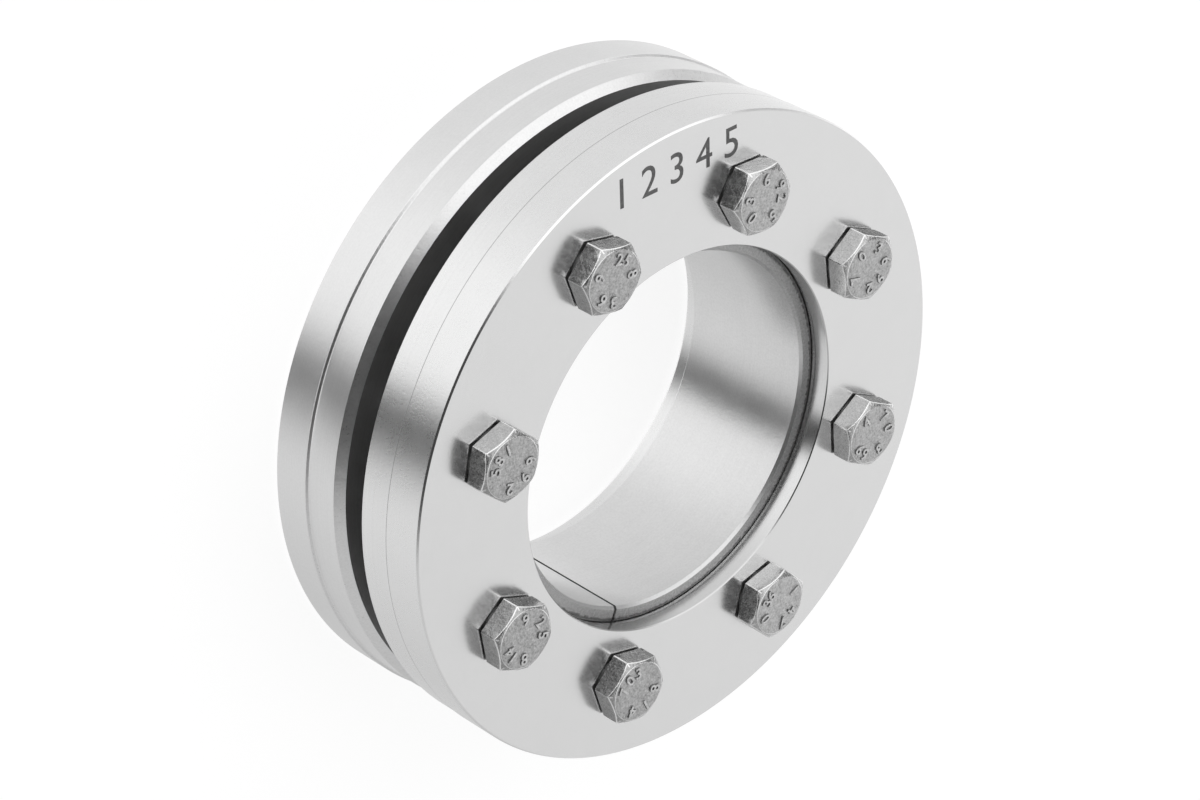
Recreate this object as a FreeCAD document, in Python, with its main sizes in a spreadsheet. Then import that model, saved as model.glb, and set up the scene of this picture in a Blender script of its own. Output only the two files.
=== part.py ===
import FreeCAD, Part
import os
import Sketcher

# A three-part shrink disc that clamps a hollow shaft or hub from outside.
# Two thrust rings with tapered bores face each other over a slit ring with two tapers.
# Eight hexagon head screws pass through the front thrust ring into tapped holes of the rear one.
# The disc lies on its rear face: the origin is the centre of that face and +Z is the disc's axis.
# Lengths are in millimetres and angles in degrees.

SIZES = (
    ("shaft_bore", 55.0, "bore of the inner ring, the size the disc is named by"),
    ("inner_ring_wall", 2.3, "wall of the inner ring at its thin ends"),
    ("inner_ring_width", 23.0, "length of the inner ring along the axis"),
    ("inner_ring_chamfer", 0.4, "chamfer of the inner ring's bore"),
    ("inner_ring_break", 0.2, "broken edge round the outside of the inner ring's ends"),
    ("slit_width", 0.5, "saw cut through the inner ring"),
    ("slit_angle", 20.5, "angle of the saw cut seen from the front, from +X"),
    ("taper_angle", 5.0, "slope of the tapers to the axis"),
    ("rear_taper_clearance", 0.065, "radial gap in the rear taper, where the inner ring sits"),
    ("front_taper_clearance", 0.15, "radial gap in the front taper before the disc is tightened"),
    ("rear_ring_width", 13.5, "length of the rear thrust ring along the axis"),
    ("front_ring_width", 12.0, "length of the front thrust ring along the axis"),
    ("ring_gap", 5.0, "gap between the thrust rings before the disc is tightened"),
    ("screw_circle_depth", 10.25, "from the bore of the inner ring out to the screws' axes"),
    ("rim_depth", 12.25, "from the screws' axes out to the rim"),
    ("edge_chamfer", 0.25, "chamfer of the front thrust ring's outer edges"),
    ("rear_edge_chamfer", 0.5, "chamfer of the rear thrust ring's outer edge at the rear face"),
    ("mouth_chamfer", 0.3, "chamfer where the tapered bores open on the gap"),
    ("front_bore_chamfer", 0.15, "chamfer of the front thrust ring's bore at the front face"),
    ("rear_bore_chamfer", 0.9, "chamfer of the rear thrust ring's bore at the rear face"),
    ("rear_band", 6.5, "full-size band of the rear thrust ring's rim"),
    ("rear_step_depth", 0.4, "how far the rear ring's rim drops beside that band"),
    ("rear_step_length", 0.8, "length of the sloping step there"),
    ("gap_bevel", 1.2, "bevel of the rear thrust ring's rim at the gap"),
    ("front_band", 6.6, "full-size band of the front thrust ring's rim"),
    ("front_step_depth", 0.1, "how far the front ring's rim drops beside that band"),
    ("screw_count", 8, "screws, evenly spaced"),
    ("first_screw_angle", 22.5, "angle of the first screw's place seen from the front, from +X"),
    ("thread_size", 6.0, "outside diameter of the screws' thread"),
    ("thread_clearance", 0.05, "radial gap between the screws and the tapped holes"),
    ("through_clearance", 0.3, "how far the through holes stand off the thread's outside"),
    ("hole_chamfer", 0.4, "chamfer at both mouths of every screw hole"),
    ("thread_engagement", 8.0, "how far the screws reach into the rear thrust ring"),
    ("screw_tip_chamfer", 0.6, "chamfer of the screws' tips"),
    ("head_height", 4.0, "height of the hexagon heads with their washer faces"),
    ("washer_height", 0.4, "height of the round washer face under each head"),
    ("across_flats", 9.8, "width of the hexagon across its flats"),
    ("washer_inset", 0.45, "how far the washer face stands back from the flats"),
    ("crown_inset", 0.3, "how far the flat circle on top of each head stands back from the flats"),
    ("crown_slope", 30.0, "slope of the chamfer round that circle"),
)

# How far each screw had turned when it came tight: the angle of one corner of its head from +X.
HEAD_ANGLES = (59.0, 26.0, 45.0, 48.0, 10.0, 1.0, 31.0, 51.0)

# Lengths that follow from the sizes, as expressions on the sheet.
TAPER = "tan(Sizes.taper_angle)"
BORE_RADIUS = "(Sizes.shaft_bore / 2)"
SCREW_RADIUS = f"({BORE_RADIUS} + Sizes.screw_circle_depth)"
RIM_RADIUS = f"({SCREW_RADIUS} + Sizes.rim_depth)"
END_RADIUS = f"({BORE_RADIUS} + Sizes.inner_ring_wall)"
RIDGE_RADIUS = f"({END_RADIUS} + Sizes.inner_ring_width / 2 * {TAPER})"
MEAN_CLEARANCE = "((Sizes.front_taper_clearance + Sizes.rear_taper_clearance) / 2)"
MOUTH_RADIUS = f"({END_RADIUS} + (Sizes.inner_ring_width - Sizes.ring_gap) / 2 * {TAPER} + {MEAN_CLEARANCE})"
THREAD_RADIUS = "(Sizes.thread_size / 2)"
FRONT_RING_HEIGHT = "(Sizes.rear_ring_width + Sizes.ring_gap)"
SCREW_LENGTH = "(Sizes.front_ring_width + Sizes.ring_gap + Sizes.thread_engagement)"
CLEARANCE_SHIFT = f"((Sizes.front_taper_clearance - Sizes.rear_taper_clearance) / 2 / {TAPER})"
RIDGE_HEIGHT = f"(Sizes.rear_ring_width + Sizes.ring_gap / 2 - {CLEARANCE_SHIFT})"
CORNER_RADIUS = "(Sizes.across_flats / sqrt(3))"

doc = FreeCAD.newDocument("ShrinkDisc")
sheet = doc.addObject("Spreadsheet::Sheet", "Sizes")


def fill_sheet():
    """Writes one row for each size: its name, its value under that name, and what it is."""
    for row, (name, size, meaning) in enumerate(SIZES, start=1):
        sheet.set(f"A{row}", name)
        sheet.set(f"B{row}", str(size))
        sheet.set(f"C{row}", meaning)
        sheet.setAlias(f"B{row}", name)
    doc.recompute()


def value(expression):
    """The number an expression on the sheet stands for."""
    return float(sheet.evalExpression(expression))


def add_body(name):
    body = doc.addObject("PartDesign::Body", name)
    body.Label = name
    return body


def origin_feature(body, role):
    return next(feature for feature in body.Origin.OriginFeatures if feature.Role == role)


def add_sketch(body, name, plane="XZ_Plane"):
    sketch = body.newObject("Sketcher::SketchObject", f"{body.Name}_{name}")
    sketch.AttachmentSupport = [(origin_feature(body, plane), "")]
    sketch.MapMode = "FlatFace"
    return sketch


def set_size(sketch, constraint, expression):
    """Adds a dimension to a sketch and ties it to an expression."""
    index = sketch.addConstraint(constraint)
    sketch.setExpression(f"Constraints[{index}]", expression)


def set_coordinate(sketch, direction, axis, line, expression):
    """Holds the start of a line at a distance from the sketch's origin, or on its axis."""
    if expression == "0":
        sketch.addConstraint(Sketcher.Constraint("PointOnObject", line, 1, axis))
    else:
        set_size(sketch, Sketcher.Constraint(direction, -1, 1, line, 1, value(expression)), expression)


def add_outline(sketch, corners):
    """Draws a closed outline through corners, each a pair of expressions."""
    points = [FreeCAD.Vector(value(x), value(y), 0) for x, y in corners]
    count = len(points)
    first = sketch.GeometryCount
    for i in range(count):
        sketch.addGeometry(Part.LineSegment(points[i], points[(i + 1) % count]), False)
    for i in range(count):
        sketch.addConstraint(Sketcher.Constraint("Coincident", first + i, 2, first + (i + 1) % count, 1))
    for i, (x, y) in enumerate(corners):
        set_coordinate(sketch, "DistanceX", -2, first + i, x)
        set_coordinate(sketch, "DistanceY", -1, first + i, y)


def revolve(body, name, corners):
    """Turns an outline about the body's Z axis."""
    sketch = add_sketch(body, f"{name}_outline")
    add_outline(sketch, corners)
    turned = body.newObject("PartDesign::Revolution", f"{body.Name}_{name}")
    turned.Profile = sketch
    turned.ReferenceAxis = (sketch, ["V_Axis"])
    turned.Angle = 360
    doc.recompute()
    return turned


def cut_round(body, name, corners, axis_distance=None):
    """Cuts an outline turned about the Z axis, or about a line beside it."""
    sketch = add_sketch(body, f"{name}_outline")
    reference = "V_Axis"
    if axis_distance:
        x = value(axis_distance)
        low = FreeCAD.Vector(x, 0, 0)
        high = FreeCAD.Vector(x, 1, 0)
        axis = sketch.addGeometry(Part.LineSegment(low, high), True)
        sketch.addConstraint(Sketcher.Constraint("Vertical", axis))
        sketch.addConstraint(Sketcher.Constraint("Distance", axis, 1.0))
        set_coordinate(sketch, "DistanceX", -2, axis, axis_distance)
        set_coordinate(sketch, "DistanceY", -1, axis, "0")
        reference = "Axis0"
    add_outline(sketch, corners)
    cut = body.newObject("PartDesign::Groove", f"{body.Name}_{name}")
    cut.Profile = sketch
    cut.ReferenceAxis = (sketch, [reference])
    cut.Angle = 360
    doc.recompute()
    return cut


def add_screw_holes(body, radius, depth):
    """Cuts the ring of screw holes, chamfered at both mouths, from the gap side to the other face."""
    wide = f"{SCREW_RADIUS} + {radius} + Sizes.hole_chamfer"
    narrow = f"{SCREW_RADIUS} + {radius}"
    corners = (
        (SCREW_RADIUS, "0"),
        (wide, "0"),
        (narrow, "Sizes.hole_chamfer"),
        (narrow, f"{depth} - Sizes.hole_chamfer"),
        (wide, depth),
        (SCREW_RADIUS, depth),
    )
    hole = cut_round(body, "hole", corners, SCREW_RADIUS)
    holes = body.newObject("PartDesign::PolarPattern", f"{body.Name}_holes")
    holes.Originals = [hole]
    holes.Axis = (origin_feature(body, "Z_Axis"), [""])
    holes.Angle = 360
    holes.setExpression("Occurrences", "Sizes.screw_count")
    body.Tip = holes
    body.setExpression("Placement.Rotation.Angle", "Sizes.first_screw_angle")


def make_rear_thrust_ring():
    """The tapped ring, with a stepped rim, bevelled at the gap."""
    body = add_body("rear_thrust_ring")
    width = "Sizes.rear_ring_width"
    small_radius = f"({MOUTH_RADIUS} - {width} * {TAPER})"
    low_rim = f"({RIM_RADIUS} - Sizes.rear_step_depth)"
    corners = (
        (f"{small_radius} + Sizes.rear_bore_chamfer", "0"),
        (f"{RIM_RADIUS} - Sizes.rear_edge_chamfer", "0"),
        (RIM_RADIUS, "Sizes.rear_edge_chamfer"),
        (RIM_RADIUS, "Sizes.rear_band"),
        (low_rim, "Sizes.rear_band + Sizes.rear_step_length"),
        (low_rim, f"{width} - Sizes.gap_bevel"),
        (f"{low_rim} - Sizes.gap_bevel", width),
        (f"{MOUTH_RADIUS} + Sizes.mouth_chamfer", width),
        (f"{MOUTH_RADIUS} - Sizes.mouth_chamfer * {TAPER}", f"{width} - Sizes.mouth_chamfer"),
        (f"{small_radius} + Sizes.rear_bore_chamfer * {TAPER}", "Sizes.rear_bore_chamfer"),
    )
    revolve(body, "blank", corners)
    add_screw_holes(body, THREAD_RADIUS, width)
    return body


def make_front_thrust_ring():
    """The ring under the heads, with through holes and a fine step round its rim."""
    body = add_body("front_thrust_ring")
    width = "Sizes.front_ring_width"
    small_radius = f"({MOUTH_RADIUS} - {width} * {TAPER})"
    low_rim = f"({RIM_RADIUS} - Sizes.front_step_depth)"
    step_height = f"({width} - Sizes.front_band)"
    corners = (
        (f"{MOUTH_RADIUS} + Sizes.mouth_chamfer", "0"),
        (f"{low_rim} - Sizes.edge_chamfer", "0"),
        (low_rim, "Sizes.edge_chamfer"),
        (low_rim, f"{step_height} - Sizes.front_step_depth"),
        (RIM_RADIUS, step_height),
        (RIM_RADIUS, f"{width} - Sizes.edge_chamfer"),
        (f"{RIM_RADIUS} - Sizes.edge_chamfer", width),
        (f"{small_radius} + Sizes.front_bore_chamfer", width),
        (f"{small_radius} + Sizes.front_bore_chamfer * {TAPER}", f"{width} - Sizes.front_bore_chamfer"),
        (f"{MOUTH_RADIUS} - Sizes.mouth_chamfer * {TAPER}", "Sizes.mouth_chamfer"),
    )
    revolve(body, "blank", corners)
    add_screw_holes(body, f"({THREAD_RADIUS} + Sizes.through_clearance)", width)
    body.setExpression("Placement.Base.z", FRONT_RING_HEIGHT)
    return body


def make_inner_ring():
    """The slit ring, thickest at its middle, that the thrust rings squeeze on to the hub."""
    body = add_body("inner_ring")
    width = "Sizes.inner_ring_width"
    broken_radius = f"({END_RADIUS} + Sizes.inner_ring_break * {TAPER})"
    corners = (
        (f"{BORE_RADIUS} + Sizes.inner_ring_chamfer", "0"),
        (f"{END_RADIUS} - Sizes.inner_ring_break", "0"),
        (broken_radius, "Sizes.inner_ring_break"),
        (RIDGE_RADIUS, f"{width} / 2"),
        (broken_radius, f"{width} - Sizes.inner_ring_break"),
        (f"{END_RADIUS} - Sizes.inner_ring_break", width),
        (f"{BORE_RADIUS} + Sizes.inner_ring_chamfer", width),
        (BORE_RADIUS, f"{width} - Sizes.inner_ring_chamfer"),
        (BORE_RADIUS, "Sizes.inner_ring_chamfer"),
    )
    revolve(body, "blank", corners)
    sketch = add_sketch(body, "slit_outline")
    beyond_ridge = f"{RIDGE_RADIUS} + Sizes.inner_ring_wall"
    before_bore = f"{BORE_RADIUS} - Sizes.inner_ring_wall"
    slit_corners = (
        (before_bore, "0"),
        (beyond_ridge, "0"),
        (beyond_ridge, width),
        (before_bore, width),
    )
    add_outline(sketch, slit_corners)
    slit = body.newObject("PartDesign::Pocket", f"{body.Name}_slit")
    slit.Profile = sketch
    slit.Midplane = True
    slit.setExpression("Length", "Sizes.slit_width")
    body.setExpression("Placement.Base.z", f"{RIDGE_HEIGHT} - {width} / 2")
    body.setExpression("Placement.Rotation.Angle", "Sizes.slit_angle")
    return body


def add_hexagon(sketch, corner_radius):
    """Draws a regular hexagon with one corner on the sketch's X axis."""
    centre = FreeCAD.Vector(0, 0, 0)
    up = FreeCAD.Vector(0, 0, 1)
    radius = value(corner_radius)
    circle = sketch.addGeometry(Part.Circle(centre, up, radius), True)
    sketch.addConstraint(Sketcher.Constraint("Coincident", circle, 3, -1, 1))
    set_size(sketch, Sketcher.Constraint("Radius", circle, radius), corner_radius)
    corners = [FreeCAD.Rotation(up, 60 * i).multVec(FreeCAD.Vector(radius, 0, 0)) for i in range(6)]
    sides = []
    for i in range(6):
        sides.append(sketch.addGeometry(Part.LineSegment(corners[i], corners[(i + 1) % 6]), False))
    for i, side in enumerate(sides):
        sketch.addConstraint(Sketcher.Constraint("Coincident", side, 2, sides[(i + 1) % 6], 1))
        sketch.addConstraint(Sketcher.Constraint("PointOnObject", side, 1, circle))
    for side in sides[1:]:
        sketch.addConstraint(Sketcher.Constraint("Equal", sides[0], side))
    sketch.addConstraint(Sketcher.Constraint("PointOnObject", sides[0], 1, -1))


def make_screw(number, turn):
    """One hexagon head screw. Its tip is at its own origin and its head is up."""
    body = add_body(f"screw_{number}")
    shank_radius = f"({THREAD_RADIUS} - Sizes.thread_clearance)"
    washer_radius = "(Sizes.across_flats / 2 - Sizes.washer_inset)"
    washer_top = f"({SCREW_LENGTH} + Sizes.washer_height)"
    shank_corners = (
        ("0", "0"),
        (f"{shank_radius} - Sizes.screw_tip_chamfer", "0"),
        (shank_radius, "Sizes.screw_tip_chamfer"),
        (shank_radius, SCREW_LENGTH),
        (washer_radius, SCREW_LENGTH),
        (washer_radius, washer_top),
        ("0", washer_top),
    )
    revolve(body, "shank", shank_corners)
    sketch = add_sketch(body, "hexagon", "XY_Plane")
    sketch.setExpression("AttachmentOffset.Base.z", washer_top)
    add_hexagon(sketch, CORNER_RADIUS)
    head = body.newObject("PartDesign::Pad", f"{body.Name}_head")
    head.Profile = sketch
    head.setExpression("Length", "Sizes.head_height - Sizes.washer_height")
    doc.recompute()
    # The chamfer slopes down from the flat circle and runs out past the corners.
    head_top = f"({SCREW_LENGTH} + Sizes.head_height)"
    crown_radius = "(Sizes.across_flats / 2 - Sizes.crown_inset)"
    outside = "Sizes.across_flats"
    crown_corners = (
        (crown_radius, head_top),
        (outside, head_top),
        (outside, f"{head_top} - ({outside} - {crown_radius}) * tan(Sizes.crown_slope)"),
    )
    cut_round(body, "crown", crown_corners)
    spacing = f"(Sizes.first_screw_angle + {number - 1} * 360 / Sizes.screw_count)"
    body.setExpression("Placement.Base.x", f"{SCREW_RADIUS} * cos({spacing})")
    body.setExpression("Placement.Base.y", f"{SCREW_RADIUS} * sin({spacing})")
    body.setExpression("Placement.Base.z", "Sizes.rear_ring_width - Sizes.thread_engagement")
    body.Placement.Rotation = FreeCAD.Rotation(FreeCAD.Vector(0, 0, 1), turn)
    return body


def check(bodies):
    """Stops unless every object is in order, every cut removes material and every body is one solid."""
    for item in doc.Objects:
        if "Invalid" in item.State or "Error" in item.State:
            raise RuntimeError(f"{item.Name} is {item.State}")
        if item.TypeId in ("PartDesign::Pocket", "PartDesign::Groove"):
            if item.Shape.Volume > item.BaseFeature.Shape.Volume - 0.001:
                raise RuntimeError(f"{item.Name} cuts nothing")
    for body in bodies:
        shape = body.Shape
        if shape.isNull() or not shape.isValid() or len(shape.Solids) != 1:
            raise RuntimeError(f"{body.Label} is not one valid solid")


fill_sheet()
screw_count = int(value("Sizes.screw_count"))
parts = [make_rear_thrust_ring(), make_front_thrust_ring(), make_inner_ring()]
for i in range(screw_count):
    parts.append(make_screw(i + 1, HEAD_ANGLES[i % len(HEAD_ANGLES)]))
doc.recompute()
check(parts)
os.makedirs("parts", exist_ok=True)
for part in parts:
    part.Shape.exportStep(f"parts/{part.Label}.step")
    box = part.Shape.BoundBox
    print(f"{part.Label}: {part.Shape.Volume:.1f} mm3, z {box.ZMin:.3f} to {box.ZMax:.3f}")
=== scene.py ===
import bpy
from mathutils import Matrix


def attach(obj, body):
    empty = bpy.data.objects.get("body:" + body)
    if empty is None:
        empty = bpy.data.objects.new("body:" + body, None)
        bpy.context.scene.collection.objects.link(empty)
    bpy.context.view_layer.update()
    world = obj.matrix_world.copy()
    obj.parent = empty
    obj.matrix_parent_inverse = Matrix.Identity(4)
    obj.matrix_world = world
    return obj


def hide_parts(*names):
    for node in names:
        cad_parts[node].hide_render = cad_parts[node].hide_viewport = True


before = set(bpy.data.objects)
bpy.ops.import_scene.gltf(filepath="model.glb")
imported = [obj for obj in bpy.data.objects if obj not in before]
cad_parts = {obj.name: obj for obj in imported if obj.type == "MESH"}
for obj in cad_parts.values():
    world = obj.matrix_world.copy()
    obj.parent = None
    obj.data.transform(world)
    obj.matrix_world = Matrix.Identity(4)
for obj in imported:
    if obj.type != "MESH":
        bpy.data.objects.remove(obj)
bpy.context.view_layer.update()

import math

import bmesh
import bpy
from mathutils import Matrix, Vector, noise

# Lengths are in millimetres, as in the part's source, and MM turns them into metres.
MM = 0.001

# The camera: where it looks, from how far, and how it is turned.
CAMERA_AIM = Vector((0.65, -20.68, 30.45)) * MM
CAMERA_DISTANCE = 602.0 * MM
CAMERA_AZIMUTH = math.radians(-89.779)
CAMERA_ELEVATION = math.radians(39.134)
CAMERA_ROLL = math.radians(118.541)
CAMERA_LENS = 129.9
SENSOR_WIDTH = 36.0

# The thrust rings. Their tapered bores are widest at the gap, where they have the mouth's radius.
TAPER = math.tan(math.radians(5.0))
INNER_RING_END_RADIUS = 29.8
GRIP_LENGTH = 9.0
MEAN_CLEARANCE = 0.1075
MOUTH_RADIUS = INNER_RING_END_RADIUS + GRIP_LENGTH * TAPER + MEAN_CLEARANCE
MOUTH_CHAMFER = 0.3
RIM_RADIUS = 50.0
RING_STEPS = 288
RING_SMOOTHING = 15.0

REAR_WIDTH = 13.5
REAR_EDGE_CHAMFER = 0.5
REAR_BORE_CHAMFER = 0.9
REAR_STEP_DEPTH = 0.4
GAP_BEVEL = 1.2

FRONT_START = 18.5
FRONT_END = 30.5
FRONT_BAND = 6.6
FRONT_STEP_DEPTH = 0.1
# The width of the painted shade line above the front step.
FRONT_SHADE_LINE = 0.12
FRONT_EDGE_CHAMFER = 0.25
FRONT_BORE_CHAMFER = 0.15
# The taper of the front ring's bore ends at the first height. Above the second, the bore is
# cylindrical.
TAPER_END = 27.8
LAND_START = 28.02

# The inner ring: its slit, the painted shade along the broken edge round its ends and the painted
# shade on a patch of its bore near the front.
SLIT_ANGLE = math.radians(20.5)
SLIT_ALONG = Vector((math.cos(SLIT_ANGLE), math.sin(SLIT_ANGLE), 0))
SLIT_ACROSS = Vector((-math.sin(SLIT_ANGLE), math.cos(SLIT_ANGLE), 0))
SLIT_REACH = 0.27
EDGE_SHADE_RADIUS = 29.1
EDGE_SHADE_BLEND = 0.25
EDGE_SHADE_WOBBLE = 1.2
SHADE_PATCH_ANGLE = math.radians(163.0)
SHADE_PATCH_TOWARDS = Vector((math.cos(SHADE_PATCH_ANGLE), math.sin(SHADE_PATCH_ANGLE), 0))
SHADE_PATCH_SHARE = 0.6

# The screws. Heights are from the tip of the shank.
SCREWS = range(1, 9)
SCREW_CIRCLE = 37.75
SCREW_BOTTOM = 5.5
FIRST_SCREW = 22.5
SCREW_SPACING = 45.0
SCREW_SMOOTHING = 42.0
HEAD_ANGLES = (59.0, 26.0, 45.0, 48.0, 10.0, 1.0, 31.0, 51.0)
# Some heads are brighter than others.
HEAD_FINISHES = (0.93, 1.2, 1.1, 1.1, 1.16, 1.0, 0.98, 0.93)
HALF_FLATS = 4.9
CORNER_ROUNDING = 0.22
HEAD_TOP = 28.8
HEAD_EDGE = 0.11
CROWN_RADIUS = 4.6
CROWN_SLOPE = math.tan(math.radians(30.0))
WASHER_RADIUS = 4.45
WASHER_TOP = 25.32
SHANK_LENGTH = 25.0
SHANK_RADIUS = 2.95
TIP_RADIUS = 2.35
TIP_LENGTH = 0.7
NECK_RADIUS = 2.65
NECK_TOP = 25.2

# The threads. In the millimetre after THREAD_FADE they run out into the plain neck under the head.
PITCH = 1.0
ROOT_RADIUS = 2.387
THREAD_FADE = 22.5
THREAD_END = 24.0
THREAD_COLUMNS = 40
THREAD_ROWS = 8
THREAD_SMOOTHING = 50.0
TAPPED_CLEARANCE = 0.05

# The screws' holes.
HOLE_RADIUS = 3.0
THROUGH_RADIUS = 3.3
HOLE_CHAMFER = 0.4
HOLE_STEPS = 48

# Raised figures round the middle of each head: their angles, and how far they lie from the middle.
MARK_ANGLES = (0.0, 38.0, 80.0, 152.0, 210.0, 268.0)
MARK_RADIUS = 2.35
MARK_HEIGHT = 1.8
MARK_RELIEF = 0.2
MARK_BEVEL = 0.04
MARK_BOLD = 0.02

# Flat figures on the front face: the two points that their foot line runs through.
NUMBERS = "1 2 3 4 5"
NUMBERS_HEIGHT = 4.7
NUMBERS_THICKNESS = 0.02
NUMBERS_FROM = Vector((-23.74, -36.26, FRONT_END))
NUMBERS_TO = Vector((-37.79, -21.22, FRONT_END))


def aim_camera():
    """Makes the camera and gives the directions to its right, up and back."""
    out = Vector((
        math.cos(CAMERA_AZIMUTH) * math.cos(CAMERA_ELEVATION),
        math.sin(CAMERA_AZIMUTH) * math.cos(CAMERA_ELEVATION),
        math.sin(CAMERA_ELEVATION),
    ))
    level = out.to_track_quat("Z", "Y").to_matrix()
    turned = level @ Matrix.Rotation(CAMERA_ROLL, 3, "Z")
    data = bpy.data.cameras.new("camera")
    data.lens = CAMERA_LENS
    data.sensor_width = SENSOR_WIDTH
    data.clip_start = 0.01
    data.clip_end = 10.0
    camera = bpy.data.objects.new("camera", data)
    bpy.context.scene.collection.objects.link(camera)
    camera.matrix_world = Matrix.Translation(CAMERA_AIM + out * CAMERA_DISTANCE) @ turned.to_4x4()
    bpy.context.scene.camera = camera
    return turned.col[0].copy(), turned.col[1].copy(), turned.col[2].copy()


RIGHT, UP, BACK = aim_camera()


class Nodes:
    """Short ways to add nodes to a material or to the world."""

    def __init__(self, tree):
        self.tree = tree
        self.tree.nodes.clear()

    def add(self, kind, **settings):
        node = self.tree.nodes.new(kind)
        for name, setting in settings.items():
            setattr(node, name, setting)
        return node

    def link(self, source, target):
        self.tree.links.new(source, target)

    def put(self, socket, source):
        """Gives a socket another socket's output or a plain value."""
        if hasattr(source, "links"):
            self.link(source, socket)
        else:
            socket.default_value = source

    def math(self, operation, *sources, clamp=False):
        node = self.add("ShaderNodeMath", operation=operation, use_clamp=clamp)
        for socket, source in zip(node.inputs, sources):
            self.put(socket, source)
        return node.outputs[0]

    def product(self, first, *others):
        for other in others:
            first = self.math("MULTIPLY", first, other)
        return first

    def dot(self, vector, direction):
        node = self.add("ShaderNodeVectorMath", operation="DOT_PRODUCT")
        self.put(node.inputs[0], vector)
        node.inputs[1].default_value = direction
        return node.outputs["Value"]

    def step(self, source, low, high, start=0.0, end=1.0):
        """Goes smoothly from start to end as source goes from low to high."""
        node = self.add("ShaderNodeMapRange", interpolation_type="SMOOTHSTEP")
        self.put(node.inputs["Value"], source)
        node.inputs["From Min"].default_value = low
        node.inputs["From Max"].default_value = high
        node.inputs["To Min"].default_value = start
        node.inputs["To Max"].default_value = end
        return node.outputs["Result"]

    def mix(self, share, a, b):
        node = self.add("ShaderNodeMix", data_type="FLOAT")
        self.put(node.inputs[0], share)
        self.put(node.inputs[2], a)
        self.put(node.inputs[3], b)
        return node.outputs[0]

    def place(self):
        """The point on the piece."""
        return self.add("ShaderNodeTexCoord").outputs["Object"]

    def reach_and_height(self):
        """The distance from the piece's axis and the height along it."""
        apart = self.add("ShaderNodeSeparateXYZ")
        self.link(self.place(), apart.inputs[0])
        x, y, z = apart.outputs
        return self.math("SQRT", self.math("MULTIPLY_ADD", x, x, self.math("MULTIPLY", y, y))), z

    def turning(self):
        """A point that is the same all the way along a lathe's mark."""
        reach, height = self.reach_and_height()
        place = self.add("ShaderNodeCombineXYZ")
        self.link(reach, place.inputs[0])
        self.link(height, place.inputs[2])
        return place.outputs[0]

    def noise(self, place, scale, detail, rough):
        """Noise between -0.5 and 0.5. The scale is in waves per metre."""
        node = self.add("ShaderNodeTexNoise")
        self.link(place, node.inputs["Vector"])
        node.inputs["Scale"].default_value = scale
        node.inputs["Detail"].default_value = detail
        node.inputs["Roughness"].default_value = rough
        return self.math("SUBTRACT", node.outputs["Fac"], 0.5)

    def bump(self, height, depth):
        node = self.add("ShaderNodeBump")
        node.inputs["Strength"].default_value = 1.0
        node.inputs["Distance"].default_value = depth
        self.link(height, node.inputs["Height"])
        return node.outputs["Normal"]


ROOM_LIGHT = 0.04


def light_world():
    """A soft studio.

    A wide soft box hangs above, and a white table below sweeps up behind. The room at the sides and
    round the camera is dark. up, right and back are 1 in that direction as the photograph is framed and
    -1 in the opposite one, and they stay with the part whatever view is rendered.
    """
    world = bpy.data.worlds.new("studio")
    bpy.context.scene.world = world
    world.use_nodes = True
    n = Nodes(world.node_tree)
    towards = n.add("ShaderNodeTexCoord").outputs["Generated"]
    up = n.dot(towards, UP)
    right = n.dot(towards, RIGHT)
    back = n.dot(towards, BACK)

    # The soft box is brightest towards its near edge and a little dimmer far behind.
    far_above = n.product(n.step(back, -0.3, -0.7), n.step(up, 0.2, 0.5))
    above = n.product(n.step(up, 0.55, 0.97, 1.12, 0.88), n.mix(far_above, 1.0, 0.85))

    # The table falls off downwards, behind and at the lower right.
    behind = n.step(back, -0.5, -0.9)
    low_right = n.product(n.step(right, -0.05, 0.3), n.step(up, -0.65, -0.85))
    below = n.product(
        n.step(up, -0.95, -0.25, 0.58, 0.91),
        n.mix(behind, 1.0, 0.83),
        n.mix(low_right, 1.0, 0.68),
    )
    level = n.mix(n.step(up, -0.1, 0.12), below, above)

    # The room shows as one dark band at the left and one at the right, which is wider behind.
    left_band = n.product(n.step(right, -0.7, -0.9), n.step(up, 0.18, 0.03), n.step(up, -0.22, -0.09))
    right_band = n.product(n.step(right, 0.9, 0.98), n.step(up, 0.35, 0.2), n.step(up, -0.2, 0.0))
    far_right = n.product(
        n.step(right, 0.72, 0.84, 0.0, 0.7),
        n.step(back, 0.2, -0.1),
        n.step(up, 0.0, 0.2),
    )
    right_band = n.math("MAXIMUM", right_band, far_right)
    camera_side = (BACK - UP * 0.43).normalized()
    around_camera = n.step(n.dot(towards, camera_side), 0.76, 0.92)
    dark = n.math("MAXIMUM", n.math("MAXIMUM", left_band, right_band), around_camera)
    level = n.mix(dark, level, ROOM_LIGHT)

    camera_ray = n.add("ShaderNodeLightPath").outputs["Is Camera Ray"]
    background = n.add("ShaderNodeBackground")
    background.inputs["Color"].default_value = (1, 1, 1, 1)
    n.link(n.mix(camera_ray, level, 1.0), background.inputs["Strength"])
    n.link(background.outputs[0], n.add("ShaderNodeOutputWorld").inputs["Surface"])


SPECK_SCALE = 3000.0
TURNING_SCALE = 7000.0
DULL_ROUGHNESS = 0.5
DULL_GRAIN = 0.35


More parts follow.
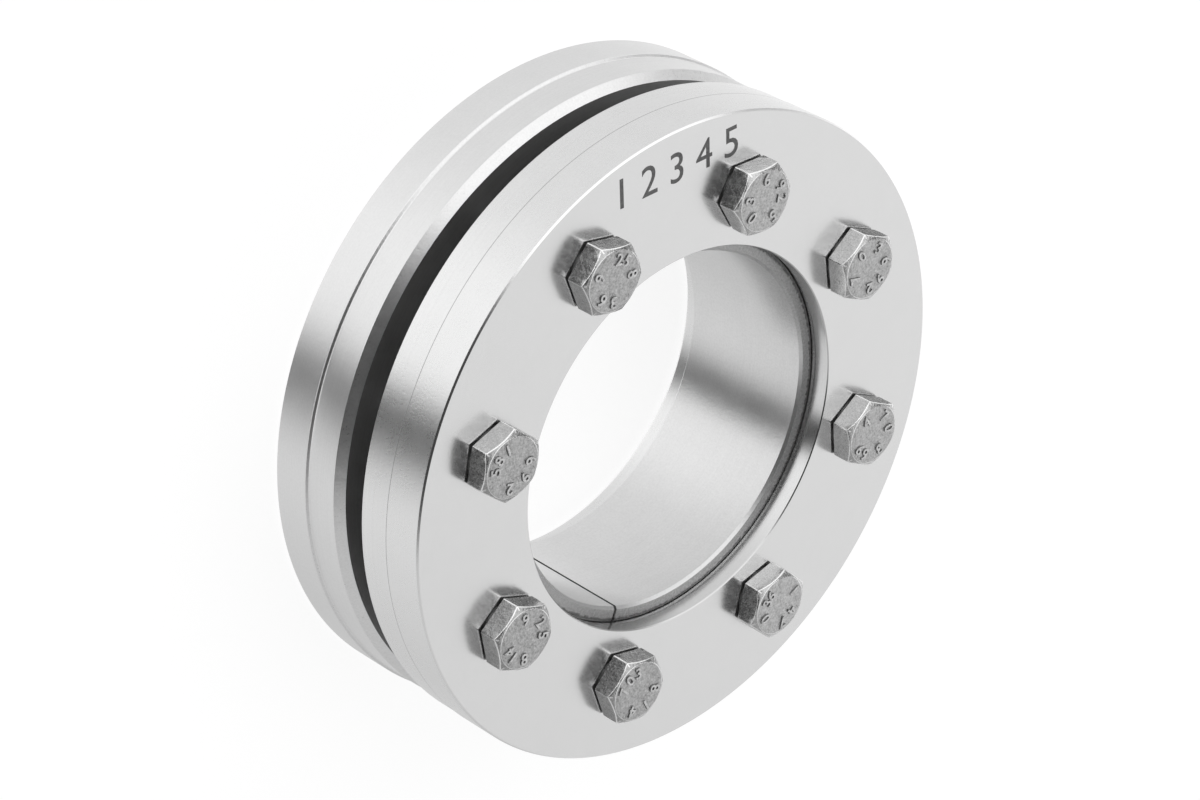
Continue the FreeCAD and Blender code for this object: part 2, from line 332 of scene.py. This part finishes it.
def metal(name, tone, roughness, anisotropy=0.0, mottle=0.03, patch=4.0, streaks=0.0, grain=0.02,
          relief=0.01, dull=None):
    """Bare steel.

    Clouds of the patch's size and a fine grain change its tone, its roughness and, by the relief, its
    surface. Streaks run round the axis as a lathe leaves them. dull gives a mask for the parts that are
    darker and rougher, and their tone; on the inner ring it also carries painted shade.
    """
    material = bpy.data.materials.new(name)
    material.use_nodes = True
    n = Nodes(material.node_tree)
    shader = n.add("ShaderNodeBsdfPrincipled")
    shader.inputs["Metallic"].default_value = 1.0
    shader.inputs["Anisotropic"].default_value = anisotropy
    if anisotropy:
        # The highlight spreads along the axis, across the turning marks.
        shader.inputs["Anisotropic Rotation"].default_value = 0.25
        tangent = n.add("ShaderNodeTangent", direction_type="RADIAL", axis="Z")
        n.link(tangent.outputs[0], shader.inputs["Tangent"])
    clouds = n.noise(n.place(), 1.0 / MM / patch, 4.0, 0.6)
    specks = n.noise(n.place(), SPECK_SCALE, 3.0, 0.7)
    turned = n.noise(n.turning(), TURNING_SCALE, 2.0, 0.6)
    if dull is not None:
        mask, dull_tone = dull(n)
        tone = n.mix(mask, tone, dull_tone)
        roughness = n.mix(mask, roughness, DULL_ROUGHNESS)
        grain = n.mix(mask, grain, DULL_GRAIN)
    # The noises reach 0.5 to either side, so twice a noise spreads the tone by all of its share.
    tone = n.math("MULTIPLY_ADD", clouds, mottle * 2.0, tone)
    tone = n.math("MULTIPLY_ADD", specks, n.math("MULTIPLY", grain, 2.0), tone)
    tone = n.math("MULTIPLY_ADD", turned, streaks * 2.0, tone, clamp=True)
    color = n.add("ShaderNodeCombineColor")
    for socket in color.inputs:
        n.link(tone, socket)
    n.link(color.outputs[0], shader.inputs["Base Color"])
    roughness = n.math("MULTIPLY_ADD", clouds, mottle * 1.5, roughness)
    n.link(n.math("MULTIPLY_ADD", specks, grain, roughness), shader.inputs["Roughness"])
    height = n.math("MULTIPLY_ADD", specks, 0.5, clouds)
    n.link(n.bump(height, relief * MM), shader.inputs["Normal"])
    n.link(shader.outputs[0], n.add("ShaderNodeOutputMaterial").inputs["Surface"])
    return material


# The thrust rings' material slots, in the order of ring_materials.
RIM, FACE, BORE, SHADED_GAP, EDGE, SHADE_LINE, BEVEL, LAND, REAR, REAR_RIM = range(10)


def ring_materials():
    return (
        metal("turned_rim", 0.8, 0.28, 0.8, streaks=0.06, grain=0.06, relief=0.02),
        metal("satin_face", 0.81, 0.22, mottle=0.015, grain=0.03, relief=0.006),
        metal("turned_bore", 0.8, 0.28, 0.4, streaks=0.05, grain=0.05, relief=0.01),
        # Painted shade: the faces inside the gap between the rings are darkened for the shade that
        # falls there.
        metal("gap_face_painted_shade", 0.52, 0.45, grain=0.03, streaks=0.06),
        metal("turned_edge", 0.95, 0.2, 0.3, grain=0.04),
        # Painted shade: a dark line on the front ring's step stands in for the shade of the small
        # ledge.
        metal("fine_line_painted_shade", 0.45, 0.4, grain=0.04),
        metal("turned_bevel", 0.88, 0.3, 0.3, mottle=0.04, patch=2.0, grain=0.12, relief=0.03),
        metal("bore_land", 0.72, 0.2, 0.3, streaks=0.05, grain=0.05, relief=0.006),
        metal("turned_back", 0.62, 0.3, 0.4, streaks=0.16, grain=0.05, relief=0.01),
        metal("turned_rear_rim", 0.8, 0.35, 0.8, streaks=0.06, grain=0.06, relief=0.02),
    )


def new_object(name, mesh, materials):
    for material in materials:
        mesh.materials.append(material)
    piece = bpy.data.objects.new(name, mesh)
    bpy.context.scene.collection.objects.link(piece)
    return piece


def smooth(mesh, angle):
    """Smooth shading, except across edges sharper than the angle in degrees."""
    mesh.shade_smooth()
    mesh.set_sharp_from_angle(angle=math.radians(angle))


def circle(radius, height, steps, start=0.0):
    """Points round the Z axis. The first lies start steps on from +X."""
    points = []
    for j in range(steps):
        angle = 2 * math.pi * (j + start) / steps
        points.append(Vector((radius * math.cos(angle), radius * math.sin(angle), height)))
    return points


def grid_mesh(name, rings, tag, closed=False, start=None, end=None):
    """A mesh through rings of points.

    tag gives the material of the face after ring i and point j. closed joins the last ring to the
    first. start and end are points that close the first and the last ring.
    """
    count = len(rings[0])
    points = [point for ring in rings for point in ring]
    faces = []
    tags = []
    for i in range(len(rings) if closed else len(rings) - 1):
        a = i * count
        b = (i + 1) % len(rings) * count
        for j in range(count):
            k = (j + 1) % count
            faces.append((a + j, b + j, b + k, a + k))
            tags.append(tag(i, j))
    for pole, ring, order in ((start, 0, 1), (end, len(rings) - 1, -1)):
        if pole is None:
            continue
        points.append(pole)
        for j in range(count):
            face = (len(points) - 1, ring * count + j, ring * count + (j + 1) % count)
            faces.append(face[::order])
            tags.append(tag(ring, j))
    mesh = bpy.data.meshes.new(name)
    mesh.from_pydata([point * MM for point in points], [], faces)
    mesh.polygons.foreach_set("material_index", tags)
    return mesh


def screw_place(number):
    angle = math.radians(FIRST_SCREW + (number - 1) * SCREW_SPACING)
    return Vector((SCREW_CIRCLE * math.cos(angle), SCREW_CIRCLE * math.sin(angle), 0))


def screw_matrix(number):
    """Where a screw stands, and how far it had turned when it came tight."""
    turn = Matrix.Rotation(math.radians(HEAD_ANGLES[number - 1]), 4, "Z")
    return Matrix.Translation((screw_place(number) + Vector((0, 0, SCREW_BOTTOM))) * MM) @ turn


def hole_cutter(radius, bottom, top):
    """Eight spool-shaped cutters, wider past both faces so that they leave chamfered mouths."""
    beyond = 1.0
    wide = radius + HOLE_CHAMFER + beyond
    corners = (
        (wide, bottom - beyond),
        (radius, bottom + HOLE_CHAMFER),
        (radius, top - HOLE_CHAMFER),
        (wide, top + beyond),
    )
    whole = bmesh.new()
    for number in SCREWS:
        place = screw_place(number)
        rings = []
        for reach, height in corners:
            # Half a step of turn keeps the cutter's corners off the ring's own edges.
            rings.append([place + point for point in circle(reach, height, HOLE_STEPS, 0.5)])
        low = place + Vector((0, 0, bottom - beyond))
        high = place + Vector((0, 0, top + beyond))
        mesh = grid_mesh("cutter", rings, lambda i, j: BORE, start=low, end=high)
        whole.from_mesh(mesh)
        bpy.data.meshes.remove(mesh)
    bmesh.ops.recalc_face_normals(whole, faces=whole.faces)
    mesh = bpy.data.meshes.new("cutters")
    whole.to_mesh(mesh)
    whole.free()
    return mesh


def settle(piece):
    """The mesh of a piece with its modifiers carried out."""
    graph = bpy.context.evaluated_depsgraph_get()
    return bpy.data.meshes.new_from_object(piece.evaluated_get(graph))


def make_ring(name, profile, hole_radius, bottom, top, materials):
    """A thrust ring, turned from its profile and drilled for the screws.

    The profile gives radii, heights and the material from each corner to the next.
    """
    rings = [circle(radius, height, RING_STEPS) for radius, height, material in profile]
    mesh = grid_mesh(name, rings, lambda i, j: profile[i][2], closed=True)
    blank = new_object(name + "_blank", mesh, materials)
    cutter = new_object(name + "_cutter", hole_cutter(hole_radius, bottom, top), materials)
    cut = blank.modifiers.new("holes", "BOOLEAN")
    cut.operation = "DIFFERENCE"
    cut.solver = "EXACT"
    cut.object = cutter
    bpy.context.view_layer.update()
    drilled = settle(blank)
    bpy.data.objects.remove(blank)
    bpy.data.objects.remove(cutter)
    smooth(drilled, RING_SMOOTHING)
    return new_object(name, drilled, [])


def thread_radius(angle, height):
    """The radius of a metric thread at a place round it and along it.

    Its crest is flat for an eighth of the pitch and its root for a quarter.
    """
    half_crest = 0.0625
    flank_end = 0.375
    turn = (height / PITCH - angle / (2 * math.pi)) % 1.0
    from_crest = abs(turn - 0.5)
    share = min(max((from_crest - half_crest) / (flank_end - half_crest), 0.0), 1.0)
    return SHANK_RADIUS + (ROOT_RADIUS - SHANK_RADIUS) * share


def thread_rings(low, high, limit, extra=0.0):
    """Rings of points on a thread. limit gives the radius at a height from the thread's own radius."""
    rings = []
    rows = round((high - low) / PITCH * THREAD_ROWS)
    for i in range(rows + 1):
        height = low + (high - low) * i / rows
        ring = []
        for j in range(THREAD_COLUMNS):
            angle = 2 * math.pi * j / THREAD_COLUMNS
            radius = limit(thread_radius(angle, height) + extra, height)
            ring.append(Vector((radius * math.cos(angle), radius * math.sin(angle), height)))
        rings.append(ring)
    return rings


def tapped_thread():
    """The thread inside one of the rear ring's holes, in step with its screw."""
    low = HOLE_CHAMFER - SCREW_BOTTOM
    high = REAR_WIDTH - HOLE_CHAMFER - SCREW_BOTTOM
    inner = thread_rings(low, high, lambda radius, height: radius, TAPPED_CLEARANCE)
    # The back of the thread lies in the ring's own metal.
    outer = [circle(HOLE_RADIUS + 0.1, height, THREAD_COLUMNS) for height in (high, low)]
    thread = grid_mesh("thread", inner + outer, lambda i, j: BORE, closed=True)
    smooth(thread, THREAD_SMOOTHING)
    return thread


def add_tapped_threads(piece):
    thread = tapped_thread()
    whole = bmesh.new()
    whole.from_mesh(piece.data)
    for number in SCREWS:
        copy = thread.copy()
        copy.transform(screw_matrix(number))
        whole.from_mesh(copy)
        bpy.data.meshes.remove(copy)
    whole.to_mesh(piece.data)
    whole.free()


def make_rings():
    materials = ring_materials()
    bore = MOUTH_RADIUS - REAR_WIDTH * TAPER
    low_rim = RIM_RADIUS - REAR_STEP_DEPTH
    rear_profile = (
        (bore + REAR_BORE_CHAMFER, 0.0, REAR),
        (RIM_RADIUS - REAR_EDGE_CHAMFER, 0.0, EDGE),
        (RIM_RADIUS, REAR_EDGE_CHAMFER, REAR_RIM),
        # The step has a rounded foot.
        (RIM_RADIUS, 6.6, BEVEL),
        (RIM_RADIUS - 0.04, 6.68, BEVEL),
        (RIM_RADIUS - 0.33, 6.94, BEVEL),
        (RIM_RADIUS - 0.38, 7.05, REAR_RIM),
        (low_rim, 7.25, REAR_RIM),
        (low_rim, REAR_WIDTH - GAP_BEVEL, BEVEL),
        (low_rim - GAP_BEVEL, REAR_WIDTH, SHADED_GAP),
        (MOUTH_RADIUS + MOUTH_CHAMFER, REAR_WIDTH, BORE),
        (MOUTH_RADIUS - MOUTH_CHAMFER * TAPER, REAR_WIDTH - MOUTH_CHAMFER, BORE),
        (bore + REAR_BORE_CHAMFER * TAPER, REAR_BORE_CHAMFER, BORE),
    )
    rear = make_ring("rear_ring", rear_profile, HOLE_RADIUS, 0.0, REAR_WIDTH, materials)
    add_tapped_threads(rear)
    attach(rear, "rear_assembly")
    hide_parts("rear_thrust_ring")

    bore = MOUTH_RADIUS - (FRONT_END - FRONT_START) * TAPER
    low_rim = RIM_RADIUS - FRONT_STEP_DEPTH
    step = FRONT_END - FRONT_BAND
    front_profile = (
        (MOUTH_RADIUS + MOUTH_CHAMFER, FRONT_START, SHADED_GAP),
        (low_rim - FRONT_EDGE_CHAMFER, FRONT_START, EDGE),
        (low_rim, FRONT_START + FRONT_EDGE_CHAMFER, RIM),
        # The step and a thin band above it carry the dark fine-line tone, painted shade for the ledge.
        (low_rim, step - FRONT_STEP_DEPTH, SHADE_LINE),
        (RIM_RADIUS, step, SHADE_LINE),
        (RIM_RADIUS, step + FRONT_SHADE_LINE, RIM),
        (RIM_RADIUS, FRONT_END - FRONT_EDGE_CHAMFER, EDGE),
        (RIM_RADIUS - FRONT_EDGE_CHAMFER, FRONT_END, FACE),
        (bore + FRONT_BORE_CHAMFER, FRONT_END, LAND),
        (bore, FRONT_END - FRONT_BORE_CHAMFER, LAND),
        (bore, LAND_START, LAND),
        (MOUTH_RADIUS - (TAPER_END - FRONT_START) * TAPER, TAPER_END, BORE),
        (MOUTH_RADIUS - MOUTH_CHAMFER * TAPER, FRONT_START + MOUTH_CHAMFER, BORE),
    )
    front = make_ring("front_ring", front_profile, THROUGH_RADIUS, FRONT_START, FRONT_END, materials)
    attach(front, "front_ring")
    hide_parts("front_thrust_ring")


def finish_inner_ring():
    """The slit ring keeps its own solid.

    Its bore has a finer finish than its slit and its ends. Painted shade darkens their broken outer
    edge most, where they meet the thrust rings, and darkens one patch of the bore near the front.
    """
    def dull_parts_and_painted_shade(n):
        place = n.place()
        reach, height = n.reach_and_height()
        normal = n.add("ShaderNodeNewGeometry").outputs["True Normal"]
        ends = n.step(n.math("ABSOLUTE", n.dot(normal, (0, 0, 1))), 0.8, 0.95)
        slit = n.product(
            n.math("LESS_THAN", n.math("ABSOLUTE", n.dot(place, SLIT_ACROSS)), SLIT_REACH * MM),
            n.math("GREATER_THAN", n.dot(place, SLIT_ALONG), 0.0),
        )
        bare = n.math("MAXIMUM", ends, slit)
        # Painted shade: the ends turn near black along their broken outer edge, in the crevice against
        # the thrust rings.
        wobble = n.math("MULTIPLY", n.noise(place, 1800.0, 3.0, 0.7), EDGE_SHADE_WOBBLE * MM)
        bare_tone_and_edge_shade = n.step(
            n.math("ADD", reach, wobble),
            EDGE_SHADE_RADIUS * MM, (EDGE_SHADE_RADIUS + EDGE_SHADE_BLEND) * MM, 0.52, 0.22,
        )
        # Painted shade: a patch of the bore near the front takes the dark tone 0.4, standing in for
        # shade there.
        patch = n.product(
            n.step(n.dot(place, SHADE_PATCH_TOWARDS), 24.0 * MM, 27.4 * MM),
            SHADE_PATCH_SHARE,
            n.step(height, 17.0 * MM, 26.0 * MM),
        )
        return n.math("MAXIMUM", bare, patch), n.mix(bare, 0.4, bare_tone_and_edge_shade)

    material = metal(
        "inner_ring_finish_and_painted_shade", 0.76, 0.31, 0.7, mottle=0.05, patch=6.0, streaks=0.04, grain=0.1,
        relief=0.03, dull=dull_parts_and_painted_shade,
    )
    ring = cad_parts["inner_ring"]
    ring.data.materials.clear()
    ring.data.materials.append(material)


# The screws' material slots: first those of head_materials, then those of shared_screw_materials.
FLAT, TOP, WORN, SHADED_UNDER, SHANK, MARK = range(6)


def head_materials(number):
    finish = HEAD_FINISHES[number - 1]
    # The tops differ half as much as the flats.
    top_finish = (1 + finish) / 2
    return (
        metal(
            f"screw_flat_{number}", 0.56 * finish, 0.25,
            mottle=0.16, patch=1.2, grain=0.28, relief=0.08,
        ),
        metal(
            f"screw_top_{number}", 0.5 * top_finish, 0.38,
            mottle=0.2, patch=1.0, grain=0.5, relief=0.12,
        ),
    )


def shared_screw_materials():
    return (
        metal("worn_edge", 1.0, 0.25, mottle=0.35, patch=0.8, grain=0.2, relief=0.05),
        # Painted shade: the head's underside and the figures' sides are dark for the shade under and
        # beside them.
        metal("screw_underside_painted_shade", 0.3, 0.5, mottle=0.08, patch=1.2, grain=0.2, relief=0.05),
        metal("screw_thread", 0.4, 0.35, mottle=0.08, patch=1.2, grain=0.15, relief=0.03),
        metal("raised_mark", 0.62, 0.33, mottle=0.5, patch=0.7, grain=0.4, relief=0.08),
    )


# The head's columns of points, as angles from each corner of the hexagon. The first faces are on the
# corner itself.
COLUMN_ANGLES = (-1.2, -0.7, 0.0, 0.7, 1.2, 3.5, 8.0, 14.0, 22.0, 30.0, 38.0, 46.0, 52.0, 56.5)
CORNER_FACES = 4
# The first row of faces from the middle of the head's top whose corners are worn.
FIRST_WORN_ROW = 7


def hexagon_radius(degrees):
    """The distance from the axis to the hexagon's side, with its corners a little rounded."""
    from_corner = math.radians((degrees + 30.0) % 60.0 - 30.0)
    centre = (HALF_FLATS - CORNER_ROUNDING) / math.cos(math.radians(30.0))
    half_arc = math.atan2(
        CORNER_ROUNDING * 0.5, centre + CORNER_ROUNDING * math.cos(math.radians(30.0))
    )
    if abs(from_corner) < half_arc:
        reach = CORNER_ROUNDING ** 2 - (centre * math.sin(from_corner)) ** 2
        return centre * math.cos(from_corner) + math.sqrt(reach)
    return HALF_FLATS / math.cos(math.radians(30.0) - abs(from_corner))


def crown_height(radius):
    return HEAD_TOP - max(radius - CROWN_RADIUS, 0.0) * CROWN_SLOPE


def head_profile(side):
    """A head's section where its side is this far from its axis, from its top in to its shank.

    Each row is a radius, a height, how worn the row is and the material of the faces after it.
    """
    drop = 0.01
    crown_start = CROWN_RADIUS + HEAD_EDGE
    crown_width = side - CROWN_RADIUS - 2 * HEAD_EDGE
    corner = crown_height(side)
    flat_height = corner - WASHER_TOP - 2 * HEAD_EDGE
    top_radii = (1.3, 2.6, 3.6, 4.2, CROWN_RADIUS - HEAD_EDGE)
    rows = [(radius, HEAD_TOP, 0.0, TOP) for radius in top_radii]
    rows.append((CROWN_RADIUS, HEAD_TOP - drop, 0.6, WORN))
    rows.append((crown_start, crown_height(crown_start) - drop, 0.6, FLAT))
    for share in (0.4, 0.75):
        radius = crown_start + crown_width * share
        rows.append((radius, crown_height(radius) - drop, 0.0, FLAT))
    rows.append((side - HEAD_EDGE, crown_height(side - HEAD_EDGE) - drop, 0.5, WORN))
    rows.append((side - 0.025, corner - drop, 1.0, WORN))
    rows.append((side, corner - HEAD_EDGE, 0.5, FLAT))
    for share in (0.3, 0.65):
        rows.append((side, corner - HEAD_EDGE - flat_height * share, 0.0, FLAT))
    rows.append((side, WASHER_TOP + HEAD_EDGE, 0.5, WORN))
    # From here down the faces take the dark underside tone, painted shade under the head.
    rows.append((side - HEAD_EDGE, WASHER_TOP, 0.5, SHADED_UNDER))
    rows.append((WASHER_RADIUS + 0.02, WASHER_TOP, 0.0, SHADED_UNDER))
    rows.append((WASHER_RADIUS, WASHER_TOP - 0.05, 0.0, SHADED_UNDER))
    rows.append((WASHER_RADIUS, SHANK_LENGTH + 0.03, 0.0, SHADED_UNDER))
    rows.append((WASHER_RADIUS - 0.03, SHANK_LENGTH, 0.0, SHADED_UNDER))
    rows.append((2.0, SHANK_LENGTH, 0.0, SHADED_UNDER))
    return rows


FORGED_UNEVENNESS = 0.012
DENT_DEPTH = 0.11


def head_point(degrees, radius, height, worn, seed):
    """A point of a head. Forging leaves it a little uneven, and handling dents its edges."""
    angle = math.radians(degrees)
    point = Vector((radius * math.cos(angle), radius * math.sin(angle), height))
    if height <= WASHER_TOP:
        return point
    unevenness = 0.5 + 0.5 * noise.noise(point * 1.1 + Vector((seed, 0, 0)))
    dents = max(noise.noise(point * 1.7 + Vector((0, seed, 0))), 0.0)
    depth = FORGED_UNEVENNESS * unevenness
    depth += worn * DENT_DEPTH * dents
    inwards = Vector((point.x, point.y, 0)).normalized()
    point -= inwards * depth * min(radius / 3.0, 1.0)
    point.z -= depth
    return point


def head_mesh(seed):
    """A forged hexagon head with a chamfered crown, rounded worn edges and a washer face."""
    degrees = [60.0 * side + angle for side in range(6) for angle in COLUMN_ANGLES]
    columns = [head_profile(hexagon_radius(angle)) for angle in degrees]
    rings = []
    for i in range(len(columns[0])):
        ring = []
        for angle, column in zip(degrees, columns):
            radius, height, worn, material = column[i]
            ring.append(head_point(angle, radius, height, worn, seed))
        rings.append(ring)

    def tag(i, j):
        material = columns[j][i][3]
        on_corner = j % len(COLUMN_ANGLES) < CORNER_FACES
        if material == FLAT and i >= FIRST_WORN_ROW and on_corner:
            return WORN
        return material

    return grid_mesh(
        "head", rings, tag,
        start=Vector((0, 0, HEAD_TOP - 0.006)), end=Vector((0, 0, SHANK_LENGTH)),
    )


def shank_mesh():
    """The threaded shank, chamfered at the tip and plain just under the head."""
    def limit(radius, height):
        if height < TIP_LENGTH:
            radius = min(radius, TIP_RADIUS + height)
        fade = min(max(height - THREAD_FADE, 0.0), 1.0)
        return radius + (NECK_RADIUS - radius) * fade

    rings = thread_rings(0.0, THREAD_END, limit)
    for height in (SHANK_LENGTH + 0.02, NECK_TOP):
        rings.append(circle(NECK_RADIUS, height, THREAD_COLUMNS))
    return grid_mesh(
        "shank", rings, lambda i, j: SHANK,
        start=Vector((0, 0, 0)), end=Vector((0, 0, NECK_TOP)),
    )


# The height of a figure as a share of the font's size.
FIGURE_SHARE = 0.7


def figure_mesh(text, height, thickness, bevel=0.0, bold=0.0):
    """Plain figures as a solid mesh that stands on z = 0, with their middle at x = 0."""
    curve = bpy.data.curves.new("figure", "FONT")
    curve.body = text
    curve.size = height / FIGURE_SHARE
    curve.extrude = thickness / 2
    curve.bevel_depth = bevel
    curve.offset = bold
    curve.bevel_resolution = 1
    curve.resolution_u = 4
    curve.align_x = "CENTER"
    writer = bpy.data.objects.new("figure", curve)
    bpy.context.scene.collection.objects.link(writer)
    bpy.context.view_layer.update()
    mesh = settle(writer)
    bpy.data.objects.remove(writer)
    mesh.transform(Matrix.Translation((0, 0, thickness / 2)))
    return mesh


def raised_mark(number, i):
    """One of a head's raised figures. The figures and their places differ from head to head."""
    text = str((3 * number + 7 * i) % 10)
    figure = figure_mesh(text, MARK_HEIGHT, MARK_RELIEF, MARK_BEVEL, MARK_BOLD)
    angle = MARK_ANGLES[i] + 67.0 * number + 9.0 * math.sin(i * 2.1 + number)
    turn = Matrix.Rotation(math.radians(angle), 4, "Z")
    place = Matrix.Translation((0, MARK_RADIUS, HEAD_TOP - MARK_BEVEL))
    figure.transform(Matrix.Scale(MM, 4) @ turn @ place)
    for face in figure.polygons:
        # The figures' sides take the dark underside tone, a painted shadow along them.
        face.material_index = MARK if face.normal.z > 0.9 else SHADED_UNDER
    return figure


def make_screws():
    shared = shared_screw_materials()
    for number in SCREWS:
        meshes = [head_mesh(number * 7.3), shank_mesh()]
        meshes += [raised_mark(number, i) for i in range(len(MARK_ANGLES))]
        whole = bmesh.new()
        for mesh in meshes:
            whole.from_mesh(mesh)
            bpy.data.meshes.remove(mesh)
        bmesh.ops.remove_doubles(whole, verts=whole.verts, dist=0.0002 * MM)
        bmesh.ops.recalc_face_normals(whole, faces=whole.faces)
        mesh = bpy.data.meshes.new(f"screw_{number}_detailed")
        whole.to_mesh(mesh)
        whole.free()
        smooth(mesh, SCREW_SMOOTHING)
        piece = new_object(f"hexagon_screw_{number}", mesh, head_materials(number) + shared)
        even = piece.modifiers.new("even_normals", "WEIGHTED_NORMAL")
        even.keep_sharp = True
        piece.matrix_world = screw_matrix(number)
        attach(piece, f"screw_{number}")
        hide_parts(f"screw_{number}")


def make_numbers():
    """Plain figures etched into the front face between two screws."""
    mesh = figure_mesh(NUMBERS, NUMBERS_HEIGHT, NUMBERS_THICKNESS)
    ink = metal("etched_numbers", 0.17, 0.5, mottle=0.05, patch=0.8, grain=0.12)
    along = (NUMBERS_TO - NUMBERS_FROM).normalized()
    middle = (NUMBERS_FROM + NUMBERS_TO) / 2
    out = Vector((0, 0, 1)).cross(along)
    turn = Matrix((along, out, Vector((0, 0, 1)))).transposed().to_4x4()
    mesh.transform(Matrix.Scale(MM, 4) @ Matrix.Translation(middle) @ turn)
    mesh.materials.clear()
    piece = new_object("numbers", mesh, [ink])
    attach(piece, "front_ring")


FLOOR_DEPTH = 0.05
FLOOR_HALF_SIZE = 3000.0
FLOOR_GLOW = 0.86
FLOOR_TONE = 0.25


def lay_floor():
    """A pale floor, a hair below the disc.

    The camera sees it near white, with the disc's soft shadow on it. From below it is clear.
    """
    size = FLOOR_HALF_SIZE * MM
    low = -FLOOR_DEPTH * MM
    mesh = bpy.data.meshes.new("floor")
    corners = [(-size, -size, low), (size, -size, low), (size, size, low), (-size, size, low)]
    mesh.from_pydata(corners, [], [(0, 1, 2, 3)])
    material = bpy.data.materials.new("pale_floor")
    material.use_nodes = True
    n = Nodes(material.node_tree)
    diffuse = n.add("ShaderNodeBsdfDiffuse")
    diffuse.inputs["Color"].default_value = (FLOOR_TONE, FLOOR_TONE, FLOOR_TONE, 1)
    glow = n.add("ShaderNodeEmission")
    glow.inputs["Color"].default_value = (1, 1, 1, 1)
    glow.inputs["Strength"].default_value = FLOOR_GLOW
    lit = n.add("ShaderNodeAddShader")
    n.link(diffuse.outputs[0], lit.inputs[0])
    n.link(glow.outputs[0], lit.inputs[1])
    clear = n.add("ShaderNodeBsdfTransparent")
    side = n.add("ShaderNodeMixShader")
    n.link(n.add("ShaderNodeNewGeometry").outputs["Backfacing"], side.inputs[0])
    n.link(lit.outputs[0], side.inputs[1])
    n.link(clear.outputs[0], side.inputs[2])
    n.link(side.outputs[0], n.add("ShaderNodeOutputMaterial").inputs["Surface"])
    floor = new_object("floor", mesh, [material])
    floor.visible_glossy = False
    floor.visible_transmission = False
    floor.visible_diffuse = False
    floor.visible_shadow = False


light_world()
make_rings()
finish_inner_ring()
make_screws()
make_numbers()
lay_floor()

bpy.context.scene.view_settings.view_transform = "Standard"
